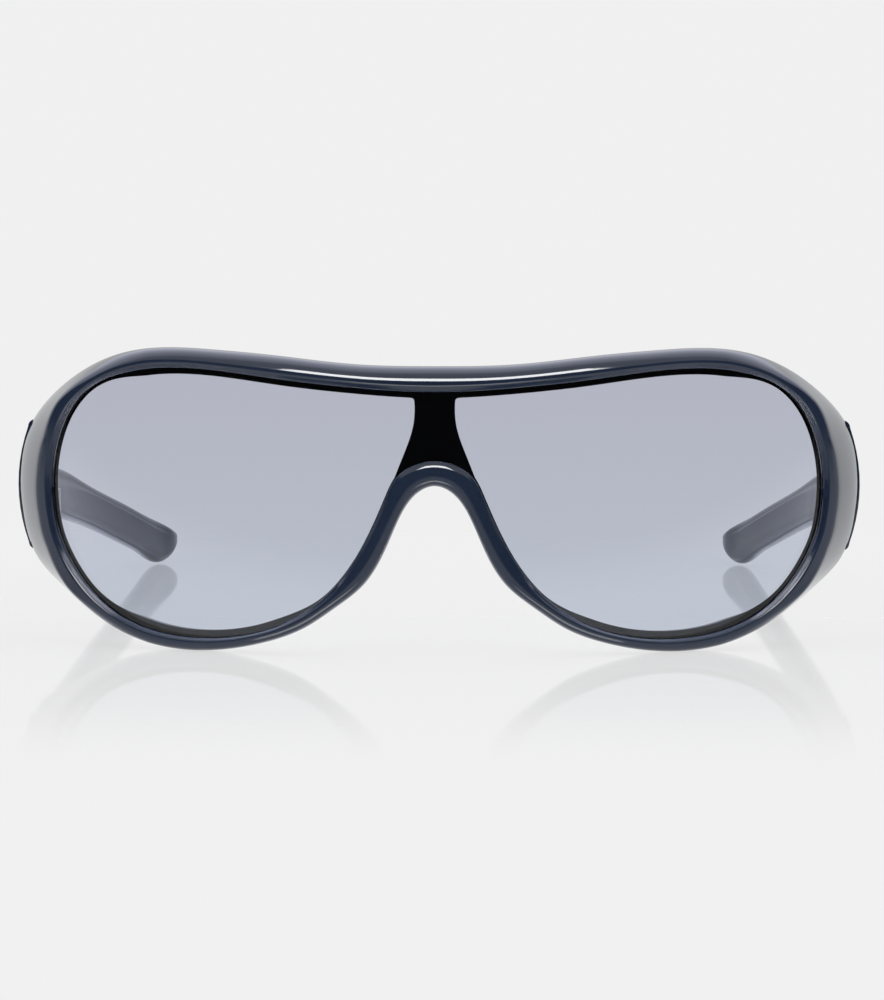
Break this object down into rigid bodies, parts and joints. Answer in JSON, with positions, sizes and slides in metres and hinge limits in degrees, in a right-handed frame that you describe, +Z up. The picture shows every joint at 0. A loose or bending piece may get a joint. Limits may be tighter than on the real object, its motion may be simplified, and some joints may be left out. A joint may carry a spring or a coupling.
{
  "type": "shield sunglasses",
  "caption": "Wraparound shield sunglasses: one-piece tinted lens in a moulded full-rim front with flared end pieces and temples that fold on screw hinges.",
  "frame": {"origin": "on the ground, in the middle of the open sunglasses' outline seen from above", "axes": "X across the front to its right side as seen from the front, the front faces -Y, the temples run towards +Y, Z up"},
  "size_m": [0.1474, 0.1508, 0.0517],
  "materials": {
    "frame_navy": "gloss",
    "temple_navy": "gloss",
    "lens_tint": "gloss",
    "carrier_black": "matte",
    "hinge_metal": "satin",
    "core_metal": "satin"
  },
  "bodies": {
    "front": {"front_frame": "frame_navy", "shield_lens": "lens_tint", "lens_carrier": "carrier_black", "front_leaf_right": "hinge_metal", "front_leaf_left": "hinge_metal", "front_leaf_rivets": "hinge_metal", "hinge_screw_right": "hinge_metal", "hinge_screw_left": "hinge_metal"},
    "right_temple": {"temple_right": "temple_navy", "temple_core_right": "core_metal", "temple_leaf_right": "hinge_metal", "temple_leaf_rivet_right": "hinge_metal"},
    "left_temple": {"temple_left": "temple_navy", "temple_core_left": "core_metal", "temple_leaf_left": "hinge_metal", "temple_leaf_rivet_left": "hinge_metal"}
  },
  "joints": [
    {"name": "right_temple_fold", "type": "hinge", "parent": "front", "child": "right_temple", "pos_m": [0.0672, -0.0392, 0.02171], "axis": [0, 0, 1], "range_deg": [0, 90]},
    {"name": "left_temple_fold", "type": "hinge", "parent": "front", "child": "left_temple", "pos_m": [-0.0672, -0.0392, 0.02171], "axis": [0, 0, -1], "range_deg": [0, 82]}
  ]
}
